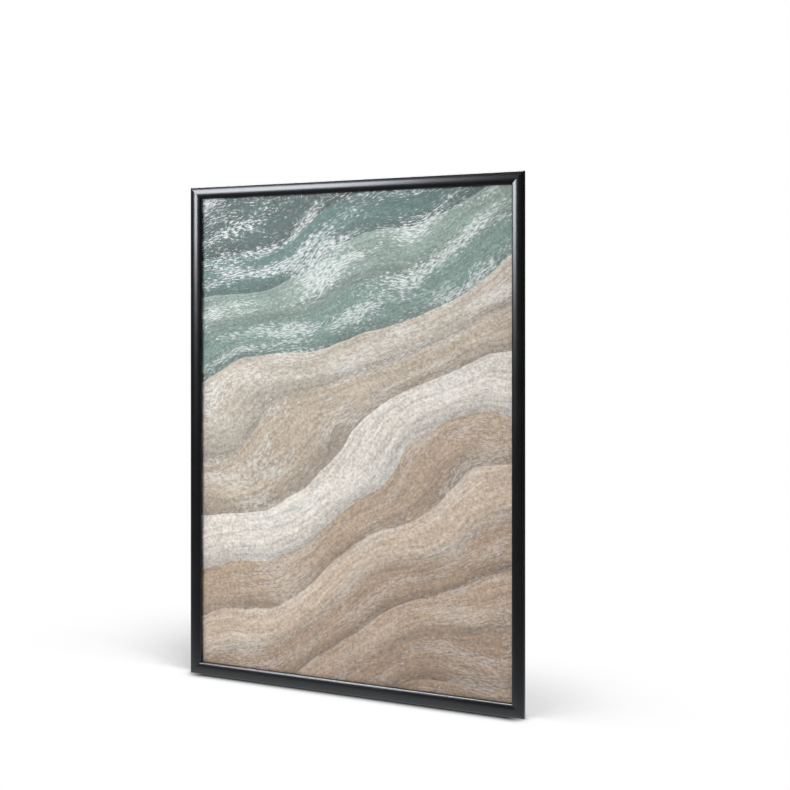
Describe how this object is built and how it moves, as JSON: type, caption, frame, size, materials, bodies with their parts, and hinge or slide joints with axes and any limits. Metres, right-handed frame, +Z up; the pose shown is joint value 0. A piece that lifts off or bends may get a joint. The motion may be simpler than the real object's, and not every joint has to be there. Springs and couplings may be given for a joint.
{
  "type": "clip frame",
  "caption": "Upright wall clip frame for a poster: arched black rails with mitred corners that snap open on outer hinges, clear cover sheet over a print on a stiff backing.",
  "frame": {"origin": "centre of the frame's back, on the wall plane, which is also the centre of the four wall-screw holes", "axes": "+Z up along the long sides, +Y into the wall, the front faces -Y"},
  "size_m": [0.73, 0.013, 1.03],
  "materials": {
    "black_aluminium": "satin",
    "spring_steel": "satin",
    "key_steel": "satin",
    "white_board": "matte",
    "printed_paper": "matte",
    "clear_sheet": "satin"
  },
  "bodies": {
    "base_frame": {"base_top": "black_aluminium", "base_bottom": "black_aluminium", "base_left": "black_aluminium", "base_right": "black_aluminium", "corner_key_top_left": "key_steel", "corner_key_top_right": "key_steel", "corner_key_bottom_left": "key_steel", "corner_key_bottom_right": "key_steel", "corner_screws": "key_steel", "backing_panel": "white_board", "poster": "printed_paper", "cover_sheet": "clear_sheet", "leaf_spring_top_1": "spring_steel", "leaf_spring_top_2": "spring_steel", "leaf_spring_top_3": "spring_steel", "leaf_spring_bottom_1": "spring_steel", "leaf_spring_bottom_2": "spring_steel", "leaf_spring_bottom_3": "spring_steel", "leaf_spring_left_1": "spring_steel", "leaf_spring_left_2": "spring_steel", "leaf_spring_left_3": "spring_steel", "leaf_spring_left_4": "spring_steel", "leaf_spring_right_1": "spring_steel", "leaf_spring_right_2": "spring_steel", "leaf_spring_right_3": "spring_steel", "leaf_spring_right_4": "spring_steel"},
    "rail_top": {"snap_rail_top": "black_aluminium"},
    "rail_bottom": {"snap_rail_bottom": "black_aluminium"},
    "rail_left": {"snap_rail_left": "black_aluminium"},
    "rail_right": {"snap_rail_right": "black_aluminium"}
  },
  "joints": [
    {"name": "snap_top", "type": "hinge", "parent": "base_frame", "child": "rail_top", "pos_m": [0, -0.0028, 0.5128], "axis": [-1, 0, 0], "range_deg": [0, 95], "deforming": ["leaf_spring_top_1", "leaf_spring_top_2", "leaf_spring_top_3"]},
    {"name": "snap_bottom", "type": "hinge", "parent": "base_frame", "child": "rail_bottom", "pos_m": [0, -0.0028, -0.5128], "axis": [1, 0, 0], "range_deg": [0, 95], "deforming": ["leaf_spring_bottom_1", "leaf_spring_bottom_2", "leaf_spring_bottom_3"]},
    {"name": "snap_left", "type": "hinge", "parent": "base_frame", "child": "rail_left", "pos_m": [-0.3628, -0.0028, 0], "axis": [0, 0, -1], "range_deg": [0, 95], "deforming": ["leaf_spring_left_1", "leaf_spring_left_2", "leaf_spring_left_3", "leaf_spring_left_4"]},
    {"name": "snap_right", "type": "hinge", "parent": "base_frame", "child": "rail_right", "pos_m": [0.3628, -0.0028, 0], "axis": [0, 0, 1], "range_deg": [0, 95], "deforming": ["leaf_spring_right_1", "leaf_spring_right_2", "leaf_spring_right_3", "leaf_spring_right_4"]}
  ]
}
